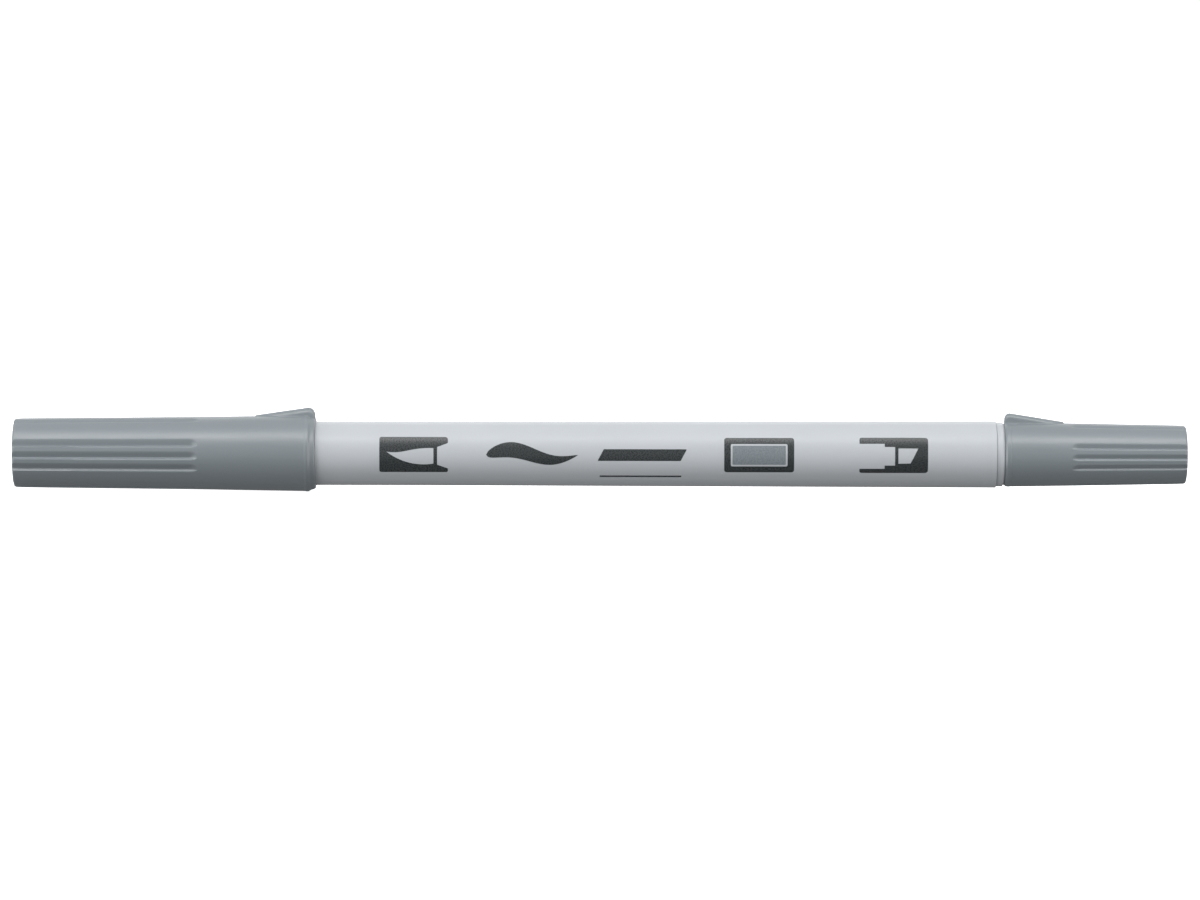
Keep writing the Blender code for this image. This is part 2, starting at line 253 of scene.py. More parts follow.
def bump(add, link, shader, source, strength, height, under=None):
    """Fine relief from the source, on top of the relief under it, if there is one."""
    node = add("ShaderNodeBump", Strength=strength, Distance=height * MM)
    link(source, node.inputs["Height"])
    if under:
        link(under, node.inputs["Normal"])
    link(node.outputs["Normal"], shader.inputs["Normal"])
    return node.outputs["Normal"]


def moulded_plastic(name, colour, roughness, specular, grain):
    """Satin injection-moulded plastic: faint flow shading, fine texture, light handling scuffs."""
    made, shader, add, link = node_material(name, roughness)
    shader.inputs["Specular IOR Level"].default_value = specular
    flow = object_noise(add, link, scale=60.0, detail=3.0, stretch=(0.35, 1.0, 1.0))
    stops = ((NOISE_LOW, shade(colour, 0.965)), (NOISE_HIGH, shade(colour, 1.035)))
    tone = ramp(add, link, flow, stops)
    link(tone, shader.inputs["Base Color"])
    scuffs = object_noise(add, link, scale=900.0, detail=2.0, stretch=(0.2, 1.0, 1.0))
    gloss = remap(add, link, scuffs, low=roughness - 0.03, high=roughness + 0.04)
    link(gloss, shader.inputs["Roughness"])
    texture = object_noise(add, link, scale=5200.0, detail=2.0)
    fine = bump(add, link, shader, texture, strength=grain, height=0.01)
    bump(add, link, shader, flow, strength=0.05, height=0.04, under=fine)
    return made


def felt(name, colour, stain_start, stain_end):
    """Ink-soaked fibre: lengthwise strands that grow darker from stain_start to stain_end along X."""
    made, shader, add, link = node_material(name, 0.88, sheen=0.25)
    strands = object_noise(add, link, scale=2600.0, detail=5.0, stretch=(0.06, 1.0, 1.0))
    stops = ((NOISE_LOW, shade(colour, 0.6)), (0.55, colour), (0.75, shade(colour, 1.5)))
    tone = ramp(add, link, strands, stops)
    place = add("ShaderNodeTexCoord")
    split = add("ShaderNodeSeparateXYZ")
    link(place.outputs["Object"], split.inputs["Vector"])
    along_x = split.outputs["X"]
    soaked = remap(
        add, link, along_x, low=0.0, high=0.75, start=stain_start * MM, end=stain_end * MM
    )
    mix = add("ShaderNodeMix")
    mix.data_type = "RGBA"
    mix.inputs["B"].default_value = shade(colour, 0.35)
    link(soaked, mix.inputs["Factor"])
    link(tone, mix.inputs["A"])
    link(mix.outputs["Result"], shader.inputs["Base Color"])
    fuzz = object_noise(add, link, scale=7000.0, detail=3.0)
    fine = bump(add, link, shader, fuzz, strength=0.35, height=0.04)
    bump(add, link, shader, strands, strength=0.6, height=0.08, under=fine)
    return made


def printed_ink(name, colour):
    """Pad-printed ink: glossy and nearly even, with faint specks in its colour and gloss."""
    made, shader, add, link = node_material(name, 0.3)
    shader.inputs["Specular IOR Level"].default_value = 0.58
    specks = object_noise(add, link, scale=6500.0, detail=2.0)
    stops = ((NOISE_LOW, shade(colour, 0.98)), (NOISE_HIGH, shade(colour, 1.02)))
    tone = ramp(add, link, specks, stops)
    link(tone, shader.inputs["Base Color"])
    link(remap(add, link, specks, low=0.265, high=0.285), shader.inputs["Roughness"])
    bump(add, link, shader, specks, strength=0.004, height=0.01)
    return made


def fibre_bundle(name, colour):
    """Pale polyester fibres, all lengthwise."""
    made, shader, add, link = node_material(name, 0.92, sheen=0.2)
    strands = object_noise(add, link, scale=3000.0, detail=5.0, stretch=(0.03, 1.0, 1.0))
    stops = ((NOISE_LOW, shade(colour, 0.6)), (NOISE_HIGH, shade(colour, 1.1)))
    tone = ramp(add, link, strands, stops)
    link(tone, shader.inputs["Base Color"])
    bump(add, link, shader, strands, strength=0.7, height=0.1)
    return made


def wrap_film(name, colour):
    """Glossy film with long creases."""
    made, shader, add, link = node_material(name, 0.16)
    creases = object_noise(add, link, scale=300.0, detail=4.0, stretch=(0.2, 1.0, 1.0))
    stops = ((0.35, shade(colour, 0.9)), (0.65, shade(colour, 1.05)))
    tone = ramp(add, link, creases, stops)
    link(tone, shader.inputs["Base Color"])
    link(remap(add, link, creases, low=0.1, high=0.24), shader.inputs["Roughness"])
    bump(add, link, shader, creases, strength=0.3, height=0.1)
    return made


CAP_GREY = (0.197, 0.226, 0.246, 1.0)
BARREL_GREY = (0.497, 0.523, 0.550, 1.0)
PRINT_GREY = (0.030, 0.036, 0.038, 1.0)
INK_GREY = (0.200, 0.225, 0.245, 1.0)
LINER_WHITE = (0.74, 0.74, 0.72, 1.0)
FIBRE_WHITE = (0.70, 0.70, 0.68, 1.0)
FILM_WHITE = (0.78, 0.82, 0.84, 1.0)

# Distances from a cap's rim between which its nib grows darker with ink
BRUSH_STAIN = (30.0, 36.0)
CHISEL_STAIN = (14.0, 18.7)

cap_plastic = moulded_plastic(
    "cap_plastic_look", CAP_GREY, roughness=0.35, specular=1.0, grain=0.10
)
barrel_plastic = moulded_plastic(
    "barrel_plastic_look", BARREL_GREY, roughness=0.31, specular=0.35, grain=0.06
)
liner_plastic = moulded_plastic(
    "liner_plastic_look", LINER_WHITE, roughness=0.46, specular=0.4, grain=0.08
)
print_ink = printed_ink("print_ink_look", PRINT_GREY)
chip_ink = printed_ink("chip_ink_look", CAP_GREY)
brush_felt = felt(
    "brush_felt_look", INK_GREY, BRUSH_RIM_X - BRUSH_STAIN[0], BRUSH_RIM_X - BRUSH_STAIN[1]
)
chisel_felt = felt(
    "chisel_felt_look", INK_GREY, CHISEL_RIM_X + CHISEL_STAIN[0], CHISEL_RIM_X + CHISEL_STAIN[1]
)


# Barrel and chisel section. Each outline runs over the outside to the nose's tip and back through
# the bore, and its details are placed from the nearer cap's rim.
BARREL_RADIUS = 4.62
TAPER_START = BRUSH_RIM_X + 15.1
BARREL_BORE = 3.70
BRUSH_NOSE_TIP = 24.9  # from the rim
CHISEL_NOSE_TIP = 12.3
COLLAR_LENGTH = 1.0
JOINT_REACH = 0.13  # how far barrel and collar each reach into the CAD's gap, to a fine joint line
NIB_BORE = 1.97
NIB_RADIUS = 1.90
VENTS = 3  # air slots along the nib's bore
VENT_WIDTH = 0.7
VENT_DEPTH = 0.32
VENT_SIDE = 0.12  # width of a slot's sloping side
SHELL_COUNT = 180  # points round a large turned piece
INNER_COUNT = 96  # points round a small one


def barrel_radius(x):
    """The barrel's outer radius: even at the brush end, then widening with its draft."""
    share = max(0.0, (x - TAPER_START) / (BARREL_END_X - TAPER_START))
    return BARREL_RADIUS + (BARREL_END_RADIUS - BARREL_RADIUS) * share


def vented(rows, angles, bore):
    """The rows, with lengthwise air slots in those that lie on the nib's bore."""
    made = []
    for row in rows:
        if max(radius for _, radius in row) > bore + 0.01:
            made.append(row)
            continue
        cut = []
        for (x, radius), angle in zip(row, angles):
            turn = (angle * VENTS / (2 * pi)) % 1.0
            across = min(turn, 1 - turn) * 2 * pi / VENTS * bore
            wall = max(0.0, min(1.0, (VENT_WIDTH / 2 - across) / VENT_SIDE + 0.5))
            cut.append((x, radius + VENT_DEPTH * wall))
        made.append(cut)
    return made


def make_barrel():
    """The tube with its neck, snap bead and nose cone for the brush cap."""
    rim = BRUSH_RIM_X
    end = BARREL_END_X + JOINT_REACH
    corners = [
        (end, BARREL_BORE + 0.1),
        (end, BARREL_END_RADIUS, 0.04),
        (TAPER_START, BARREL_RADIUS),
        (rim - 1.7, BARREL_RADIUS, 0.15),
        (rim - 1.7, 4.00, 0.12),
        (rim - 6.1, 4.00, 0.3),
        (rim - 6.5, 4.07, 0.3),
        (rim - 6.9, 4.07, 0.3),
        (rim - 7.3, 4.00, 0.3),
        (rim - 9.9, 4.00, 0.45),
        (rim - 9.9, 3.45, 0.15),
        (rim - 10.9, 3.25, 0.3),
        (rim - 14.9, 3.25, 0.6),
        (rim - BRUSH_NOSE_TIP, 2.62, 0.3),
        (rim - BRUSH_NOSE_TIP, NIB_BORE, 0.08),
        (rim - 15.0, NIB_BORE),
        (rim - 10.9, 2.5, 0.3),
        (rim - 0.5, 2.9, 0.3),
        (rim + 2.5, BARREL_BORE, 0.3),
    ]
    angles = even_angles(SHELL_COUNT)
    rows = vented(even_rows(rounded(corners, closed=True), SHELL_COUNT), angles, NIB_BORE)
    bm = skin(rows, angles, joined=True)
    return finished("barrel_tube", bm, barrel_plastic, "pen_body", "barrel")


def make_chisel_section():
    """The plug in the barrel's open end: collar, neck, snap bead and nose cone."""
    rim = CHISEL_RIM_X
    collar = rim - COLLAR_LENGTH - JOINT_REACH
    corners = [
        (collar, 3.63, 0.1),
        (collar, 4.65, 0.04),
        (rim - 0.26, 4.65, 0.12),
        (rim - 0.02, 4.40, 0.05),
        (rim - 0.02, 3.62, 0.1),
        (rim + 2.4, 3.62, 0.3),
        (rim + 2.8, 3.69, 0.3),
        (rim + 3.2, 3.69, 0.3),
        (rim + 3.6, 3.62, 0.3),
        (rim + 6.5, 3.62, 0.35),
        (rim + 6.5, 3.08, 0.12),
        (rim + 6.9, 2.88, 0.2),
        (rim + 9.2, 2.88, 0.5),
        (rim + CHISEL_NOSE_TIP, 2.57, 0.25),
        (rim + CHISEL_NOSE_TIP, NIB_BORE, 0.08),
        (rim + 6.5, NIB_BORE),
        (rim + 3.5, 2.6, 0.3),
        (rim - 11.0, 2.9),
        (rim - 11.0, 3.63, 0.3),
    ]
    angles = even_angles(SHELL_COUNT)
    rows = vented(even_rows(rounded(corners, closed=True), SHELL_COUNT), angles, NIB_BORE)
    bm = skin(rows, angles, joined=True)
    return finished(
        "chisel_section_moulding", bm, barrel_plastic, "pen_body", "chisel_section"
    )


# Caps. Distances run from the rim towards the closed end.
GROOVE_GROUPS = 4
GROOVE_PITCH = radians(20.0)
GROOVE_RUNOUT = 1.1  # how far along the cap a groove takes to reach its depth
GROOVE_EDGE = 0.05  # these four are shares of the groove's depth, for its soft edge and its floor
GROOVE_EDGE_BLEND = 0.12
GROOVE_FLOOR = 0.85
GROOVE_FLOOR_BLEND = 0.2
LUG_FILLET = 0.14
LUG_DRAFT = 0.12  # how much the sides lean in for their height
LUG_FRONT = 0.05  # where the nose starts
LUG_NOSE_POWER = 2.4  # 2 would make the nose a quarter of an ellipse; more is squarer
END_ROUNDING = 0.4
END_RECESS = 0.12
GATE_DEPTH = 0.1  # the moulding gate's dimple in the middle of the end
BRUSH_MOUTH_SETBACK = 0.12  # how far the brush cap's rim stops short of the CAD's
CAP_EVEN_COUNT = 90  # even points round a cap, before the close ones on its details
CAP_CLOSEST = radians(0.25)  # points nearer than this are merged
LUG_WALL_STEP = radians(0.45)

# outer and bore hold (distance, radius, rounding) corners
Cap = namedtuple("Cap", "rim_x way length outer bore groove_start groove lug")
# upper, valley and lower are places across a groove from its middle line, downwards in front
Groove = namedtuple("Groove", "upper valley lower depth")
# apex and foot are distances, height is from the axis, and foot_rise is above the cap's side
Lug = namedtuple("Lug", "apex height foot foot_rise width nose_drop")

BRUSH_CAP = Cap(
    rim_x=BRUSH_RIM_X - BRUSH_MOUTH_SETBACK,
    way=-1,
    length=BRUSH_CAP_LENGTH - BRUSH_MOUTH_SETBACK,
    outer=(
        (0.0, 5.00),
        (0.12, 5.14, 0.10),
        (0.70, 5.33, 0.06),
        (1.03, 5.54, 0.12),
        (1.32, 5.56, 0.12),
        (1.55, 5.50, 0.15),
        (17.2, 5.27, 4.0),
        (BRUSH_CAP_LENGTH - BRUSH_MOUTH_SETBACK - 1.3, 5.03, 1.5),
        (BRUSH_CAP_LENGTH - BRUSH_MOUTH_SETBACK, 4.98, END_ROUNDING),
    ),
    bore=(
        (0.0, 4.72, 0.02),
        (0.06, 4.68, 0.02),
        (2.0, 4.69, 0.1),
        (2.0, 4.22, 0.1),
        (42.6, 4.08, 0.4),
    ),
    groove_start=16.9,
    groove=Groove(upper=-0.61, valley=0.36, lower=0.61, depth=0.42),
    lug=Lug(apex=1.15, height=6.65, foot=8.75, foot_rise=0.15, width=1.9, nose_drop=1.4),
)
CHISEL_CAP = Cap(
    rim_x=CHISEL_RIM_X,
    way=1,
    length=CHISEL_CAP_LENGTH,
    outer=(
        (0.0, 4.38),
        (0.12, 4.51, 0.08),
        (0.34, 4.66, 0.12),
        (0.80, 4.70, 0.10),
        (0.95, 4.65, 0.05),
        (1.20, 4.66, 0.05),
        (9.76, 4.54, 3.0),
        (CHISEL_CAP_LENGTH - 1.3, 4.27, 1.5),
        (CHISEL_CAP_LENGTH, 4.21, END_ROUNDING),
    ),
    bore=(
        (0.0, 3.92, 0.05),
        (0.12, 3.80, 0.05),
        (25.5, 3.46, 0.4),
    ),
    groove_start=9.62,
    groove=Groove(upper=-0.36, valley=0.35, lower=0.58, depth=0.33),
    lug=Lug(apex=0.90, height=6.00, foot=8.70, foot_rise=0.20, width=1.6, nose_drop=1.1),
)


def groove_offsets(groove):
    """Places for points across a groove, close together at its edges and its deepest line."""
    upper_end = groove.upper + 0.16
    valley_start = groove.valley - 0.12
    made = [groove.upper - 0.09, groove.upper, groove.upper + 0.07]
    made += along(upper_end, valley_start, 0.2)
    made += [valley_start, groove.valley - 0.04, groove.valley + 0.01, groove.valley + 0.06]
    return made + [groove.lower - 0.13, groove.lower - 0.07, groove.lower, groove.lower + 0.09]


def cap_angles(cap):
    """Close together across each groove and each wall of the lug, wider apart elsewhere."""
    radius = cap.outer[-1][1]
    wanted = even_angles(CAP_EVEN_COUNT)
    for group in range(GROOVE_GROUPS):
        for index in (-1, 0, 1):
            centre = group * 2 * pi / GROOVE_GROUPS + index * GROOVE_PITCH
            wanted += [centre + offset / radius for offset in groove_offsets(cap.groove)]
    wall = asin(cap.lug.width / 2 / radius)
    for step in range(-9, 10):
        spread = LUG_WALL_STEP * step
        wanted += [wall + spread, -wall + spread]
    wanted = sorted(angle % (2 * pi) for angle in wanted)
    kept = [wanted[0]]
    for angle in wanted[1:]:
        if angle - kept[-1] > CAP_CLOSEST:
            kept.append(angle)
    return kept


def cap_stations(cap):
    """Distances for the rows of points, closest where the shape changes along the cap."""
    start = cap.groove_start
    foot = cap.lug.foot
    zones = (  # (where the zone ends, step)
        (1.9, 0.05),  # the lip and the lug's nose
        (foot - 0.2, 0.35),
        (foot + 0.2, 0.05),  # the lug's foot
        (start - 0.15, 1.2),
        (start + 1.3, 0.06),  # the grooves' round ends
        (cap.length - 2.1, 1.3),
        (cap.length - END_ROUNDING * 1.5, 0.2),
        (cap.length, 0.06),  # the rounded edge of the closed end
    )
    made = []
    here = 0.0
    for zone_end, step in zones:
        made += along(here, zone_end, step)
        here = zone_end
    return made + [cap.length]


def groove_cut(cap, distance, radius, angle):
    """How deep the grooves are at a place on the cap: a long and a short flank, and round ends."""
    group = 2 * pi / GROOVE_GROUPS
    turn = (angle + group / 2) % group - group / 2
    index = max(-1, min(1, round(turn / GROOVE_PITCH)))
    across = (turn - index * GROOVE_PITCH) * radius
    groove = cap.groove
    edge = groove.upper if across < groove.valley else groove.lower
    rise = (across - groove.valley) / (edge - groove.valley)
    end = max(0.0, 1 - (distance - cap.groove_start) / GROOVE_RUNOUT)
    share = 1 - hypot(rise, end)
    if share <= 0:
        return 0.0
    share = smooth_max(share - GROOVE_EDGE, 0.0, GROOVE_EDGE_BLEND)
    return groove.depth * smooth_min(share, GROOVE_FLOOR, GROOVE_FLOOR_BLEND)


def lug_foot_height(cap):
    """Radius at the lug's foot, which is a small step above the cap's side."""
    return interpolated([point[:2] for point in cap.outer], cap.lug.foot) + cap.lug.foot_rise


def lug_radius(cap, distance, angle):
    """Distance from the axis to the lug's half-round crown and steep sides, or 0 beside it."""
    lug = cap.lug
    lean = abs((angle + pi) % (2 * pi) - pi)
    if distance < LUG_FRONT or distance > lug.foot or lean > pi / 4:
        return 0.0
    if distance < lug.apex:
        rise = (lug.apex - distance) / (lug.apex - LUG_FRONT)
        nose = max(0.0, 1 - rise**LUG_NOSE_POWER) ** (1 / LUG_NOSE_POWER)
        top = lug.height - lug.nose_drop * (1 - nose)
    else:
        share = (distance - lug.apex) / (lug.foot - lug.apex)
        top = lug.height + (lug_foot_height(cap) - lug.height) * share
    crown = lug.width / 2
    centre = top - crown
    if centre * sin(lean) < crown:
        over = centre * cos(lean) + sqrt(crown**2 - (centre * sin(lean)) ** 2)
        if over * cos(lean) >= centre:
            return over
    return (crown + LUG_DRAFT * centre) / (sin(lean) + LUG_DRAFT * cos(lean))


def cap_radii(cap, distance, draft, base, angles):
    """The outer radius at one distance, for each angle.

    base is the side's radius there, and draft the same without the rounding of its corners.
    """
    radii = []
    for angle in angles:
        cut = groove_cut(cap, distance, base, angle)
        radius = min(base, draft - cut) if cut > 0 else base
        lug = lug_radius(cap, distance, angle)
        if lug > 0:
            radius = smooth_max(radius, lug, LUG_FILLET)
        radii.append(radius)
    return radii


def make_cap(name, cap, body, node):
    """Closed end, outer side with grooves and lug, lip, bore and floor, as one skin."""
    angles = cap_angles(cap)
    count = len(angles)
    end_radius = cap.outer[-1][1]
    with_face = rounded(cap.outer + ((cap.length, 0.0),), steps=8)
    side = [point for point in with_face if point[1] > end_radius - END_ROUNDING - 0.001]
    draft = [point[:2] for point in cap.outer]
    recess = rounded(
        (
            (cap.length - END_RECESS, 0.3),
            (cap.length - END_RECESS, end_radius - 1.35, 0.1),
            (cap.length, end_radius - 1.2, 0.1),
            (cap.length, end_radius - END_ROUNDING - 0.15),
        )
    )
    gate_floor = cap.length - END_RECESS - GATE_DEPTH
    rows = even_rows([(gate_floor, 0.12), (gate_floor, 0.25)] + recess, count)
    for distance in reversed(cap_stations(cap)):
        base = interpolated(side, distance)
        radii = cap_radii(cap, distance, interpolated(draft, distance), base, angles)
        rows.append([(distance, radius) for radius in radii])
    floor = cap.bore[-1][0]
    rows += even_rows(rounded(cap.bore + ((floor, 0.5),)), count)
    placed = [[(cap.rim_x + cap.way * away, radius) for away, radius in row] for row in rows]
    bm = skin(placed, angles, joined=False)
    return finished(name, bm, cap_plastic, body, node, sharp=50.0)


# Liners. start and end are distances from the cap's rim, and the other three are radii.
FLANGE_LENGTH = 0.9
LINER_FLOOR = 0.6
Liner = namedtuple("Liner", "rim_x way start end inner outer flange")

BRUSH_LINER = Liner(
    rim_x=BRUSH_RIM_X, way=-1, start=12.9, end=42.2, inner=3.35, outer=3.85, flange=4.02
)
CHISEL_LINER = Liner(
    rim_x=CHISEL_RIM_X, way=1, start=7.7, end=25.0, inner=2.98, outer=3.37, flange=3.58
)


def make_liner(name, liner, body, node):
    """The soft inner cap: flanged mouth with a sealing bead, thin wall, closed end."""
    rim_x, way, start, end, inner, outer, flange = liner
    outline = rounded(
        (
            (end, 0.4),
            (end, outer, 0.4),
            (start + FLANGE_LENGTH, outer, 0.1),
            (start + FLANGE_LENGTH, flange, 0.1),
            (start, flange, 0.1),
            (start, inner + 0.12, 0.06),
            (start + 0.3, inner, 0.2),
            (start + 0.7, inner - 0.05, 0.2),
            (start + 1.1, inner, 0.3),
            (end - LINER_FLOOR, inner, 0.12),
            (end - LINER_FLOOR, 0.4),
        )
    )
    placed = [(rim_x + way * away, radius) for away, radius in outline]
    bm = skin(even_rows(placed, INNER_COUNT), even_angles(INNER_COUNT), joined=False)
    return finished(name, bm, liner_plastic, body, node)


# Nibs
ROOT_RADIUS = 1.4  # of the thin root that runs into the reservoir
BRUSH_POINT_STEPS = 40
BRUSH_POINT_POWER = 1.7  # 2 would make the point half an ellipse; less is sharper
CHISEL_SLANT = 2.3  # how much shorter the writing edge is at the bottom
CHISEL_HALF_THICKNESS = 1.22
CHISEL_EDGE = 0.24  # rounding of the edge
CHISEL_LEAN = 0.1  # the shortest stretch in which the rows turn from upright to the slant
CHISEL_POWER = 5.0  # of the ground block's superellipse, where 2 is round
CHISEL_GRIND = 1.6  # the flats reach their depth after one part in this of the ground length


def make_brush_nib():
    """A felt brush with a straight shank and a long tapering point."""
    rim = BRUSH_RIM_X
    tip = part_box("brush_nib")[0].x / MM
    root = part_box("brush_nib")[1].x / MM
    nose = rim - BRUSH_NOSE_TIP
    outline = rounded(
        (
            (root, 0.4),
            (root, ROOT_RADIUS, 0.4),
            (rim - 13.9, ROOT_RADIUS, 0.5),
            (rim - 15.4, NIB_RADIUS, 0.5),
            (nose, NIB_RADIUS),
        )
    )
    for step in range(1, BRUSH_POINT_STEPS):
        share = sin(pi / 2 * step / BRUSH_POINT_STEPS)
        radius = NIB_RADIUS * sqrt(1 - share**BRUSH_POINT_POWER)
        outline.append((nose + (tip - nose) * share, radius))
    bm = skin(even_rows(outline, INNER_COUNT), even_angles(INNER_COUNT), joined=False)
    return finished("brush_nib_felt", bm, brush_felt, "pen_body", "brush_nib", sharp=60.0)


def block_radius(angle, half_y, half_z, power):
    """Radius of a superellipse: power 2 is an ellipse, more makes it a rounded block."""
    across = abs(sin(angle)) / half_y
    up = abs(cos(angle)) / half_z
    return (across**power + up**power) ** (-1 / power)


def make_chisel_nib():
    """A round felt rod ground to two flats and a slanted, rounded edge."""
    rim = CHISEL_RIM_X
    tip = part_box("chisel_nib")[1].x / MM
    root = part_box("chisel_nib")[0].x / MM
    ground = rim + CHISEL_NOSE_TIP + 0.7
    straight = tip - CHISEL_SLANT - CHISEL_EDGE - CHISEL_LEAN
    angles = even_angles(INNER_COUNT)
    half_z = NIB_RADIUS - 0.02
    shank = rounded(
        (
            (root, 0.4),
            (root, ROOT_RADIUS, 0.4),
            (rim + 5.7, ROOT_RADIUS, 0.5),
            (rim + 7.0, NIB_RADIUS, 0.5),
            (ground, NIB_RADIUS),
        )
    )
    rows = even_rows(shank, INNER_COUNT)
    steps = 14
    for step in range(1, steps + 1):
        share = step / steps
        ground_share = min(1.0, share * CHISEL_GRIND)
        ease = ground_share**2 * (3 - 2 * ground_share)
        half_y = NIB_RADIUS + (CHISEL_HALF_THICKNESS - NIB_RADIUS) * ease
        power = 2.0 + (CHISEL_POWER - 2.0) * ease
        x = ground + (straight - ground) * share
        rows.append([(x, block_radius(angle, half_y, half_z, power)) for angle in angles])
    block = [radius for _, radius in rows[-1]]

    def face_x(angle, radius):
        """The slanted face: furthest at the top, CHISEL_SLANT shorter at the bottom."""
        return tip - CHISEL_SLANT * (half_z - radius * cos(angle)) / (2 * half_z)

    for share in (0.35, 0.7, 1.0):
        lean = []
        for angle, radius in zip(angles, block):
            end = face_x(angle, radius) - CHISEL_EDGE
            lean.append((straight + (end - straight) * share, radius))
        rows.append(lean)
    steps = 5
    for step in range(1, steps + 1):
        turn = pi / 2 * step / steps
        row = []
        for angle, radius in zip(angles, block):
            inner = radius - CHISEL_EDGE * (1 - cos(turn))
            row.append((face_x(angle, inner) - CHISEL_EDGE * (1 - sin(turn)), inner))
        rows.append(row)
    for share in (0.6, 0.25):
        rows.append([(face_x(a, r * share), r * share) for a, (_, r) in zip(angles, rows[-1])])
    bm = skin(rows, angles, joined=False)
    return finished(
        "chisel_nib_felt", bm, chisel_felt, "pen_body", "chisel_nib", sharp=60.0
    )


# Print on the barrel. Shapes are flat outlines of (along X, up round the barrel) before they are
# wrapped on, each measured from its own centre.
PRINT_LIFT = 0.012  # height of the ink's surface over the plastic
PRINT_THICKNESS = 0.02
PRINT_STRIP = 0.2  # the widest strip that stays flat when a shape is wrapped on
PRINT_ANGLE = radians(1.7)  # the print's middle line, up from the marker's side
BRUSH_BADGE_X = BRUSH_RIM_X + 14.17
SAMPLES_X = -1.95  # of the two sample strokes and the rule
CHIP_X = BARREL_END_X - 34.26
CHISEL_BADGE_X = BARREL_END_X - 14.82
BADGE_HALF_LENGTH = 4.95
BADGE_HALF_HEIGHT = 2.68


def print_on_barrel(name, loops, centre_x, material):
    """Wrap a flat filled shape (outline first, then its holes) on the barrel as a thin layer."""
    bm = bmesh.new()
    for loop in loops:
        ring = [bm.verts.new((x, up, 0.0)) for x, up in loop]
        for first, second in zip(ring, ring[1:] + ring[:1]):
            bm.edges.new((first, second))
    bmesh.ops.triangle_fill(bm, edges=bm.edges[:], use_beauty=True, normal=(0.0, 0.0, 1.0))
    low = min(up for loop in loops for _, up in loop)
    high = max(up for loop in loops for _, up in loop)
    for level in along(low, high, PRINT_STRIP)[1:]:
        bmesh.ops.bisect_plane(
            bm,
            geom=bm.verts[:] + bm.edges[:] + bm.faces[:],
            plane_co=(0.0, level, 0.0),
            plane_no=(0.0, 1.0, 0.0),
        )
    bmesh.ops.recalc_face_normals(bm, faces=bm.faces[:])
    if bm.faces[:][0].normal.z < 0:
        bmesh.ops.reverse_faces(bm, faces=bm.faces[:])
    under = bmesh.ops.duplicate(bm, geom=bm.verts[:] + bm.edges[:] + bm.faces[:])
    pairs = under["vert_map"]
    lower = [item for item in under["geom"] if isinstance(item, bmesh.types.BMVert)]
    for vert in lower:
        vert.co.z = -PRINT_THICKNESS
    lower_faces = [item for item in under["geom"] if isinstance(item, bmesh.types.BMFace)]
    bmesh.ops.reverse_faces(bm, faces=lower_faces)
    upper = set(bm.verts) - set(lower)
    rim = [edge for edge in bm.edges if edge.is_boundary and edge.verts[0] in upper]
    for edge in rim:
        first, second = edge.verts
        bm.faces.new((first, second, pairs[second], pairs[first]))
    for vert in bm.verts:
        x = centre_x + vert.co.x
        base = barrel_radius(x)
        radius = base + PRINT_LIFT + vert.co.z
        angle = pi / 2 - PRINT_ANGLE - vert.co.y / base
        vert.co = (x * MM, -radius * sin(angle) * MM, (AXIS_Z + radius * cos(angle)) * MM)
    return finished(name, bm, material, "pen_body", None)


def brush_badge():
    """A dark badge with a brush nib left open in it, and a mouth where the barrel would be."""
    length, height = BADGE_HALF_LENGTH, BADGE_HALF_HEIGHT
    outline = rounded(
        (
            (-length, height, 0.34),
            (length, height, 0.45),
            (length, 1.72, 0.1),
            (3.40, 1.13),
            (3.40, -1.47),
            (length, -2.06, 0.1),
            (length, -height, 0.4),
            (-length, -height, 0.34),
        ),
        closed=True,
    )
    upper = bezier(((-3.92, 0.44), (-1.5, 0.02), (-0.5, 1.10), (2.87, 0.97)), 14)
    lower = bezier(((2.87, -1.30), (0.6, -1.72), (-1.9, -1.10), (-3.92, 0.44)), 14)
    return [outline, upper + lower[:-1]]


def chisel_badge():
    """The same badge for the chisel nib, facing the other way."""
    length, height = BADGE_HALF_LENGTH, BADGE_HALF_HEIGHT
    outline = rounded(
        (
            (length, height, 0.5),
            (length, -height, 0.5),
            (-length, -height, 0.36),
            (-length, -1.99),
            (-1.31, -1.99),
            (-1.31, -1.48),
            (0.19, -1.48),
            (0.19, 1.25),
            (-1.31, 1.25),
            (-1.31, 1.72),
            (-length, 1.72),
            (-length, height, 0.36),
        ),
        closed=True,
    )
    nib = ((0.66, 1.03), (3.54, 1.03), (2.43, -1.15), (0.66, -1.20))
    return [outline, list(nib)]


def rounded_box(half_length, half_height, rounding):
    """A rectangle with round corners."""
    return rounded(
        (
            (-half_length, half_height, rounding),
            (half_length, half_height, rounding),
            (half_length, -half_height, rounding),
            (-half_length, -half_height, rounding),
        ),
        closed=True,
    )


def chip_frame():
    """A dark border round the colour chip."""
    outside = rounded_box(half_length=5.05, half_height=2.61, rounding=0.43)
    inside = rounded_box(half_length=4.10, half_height=1.65, rounding=0.25)
    return [outside, inside]


def colour_chip():
    """A filled chip inside the border."""
    return [rounded_box(half_length=3.85, half_height=1.40, rounding=0.18)]


def thin_rule():
    """A fine line under the sample strokes."""
    return [[(1.9, -3.25), (13.7, -3.25), (13.7, -3.55), (1.9, -3.55)]]


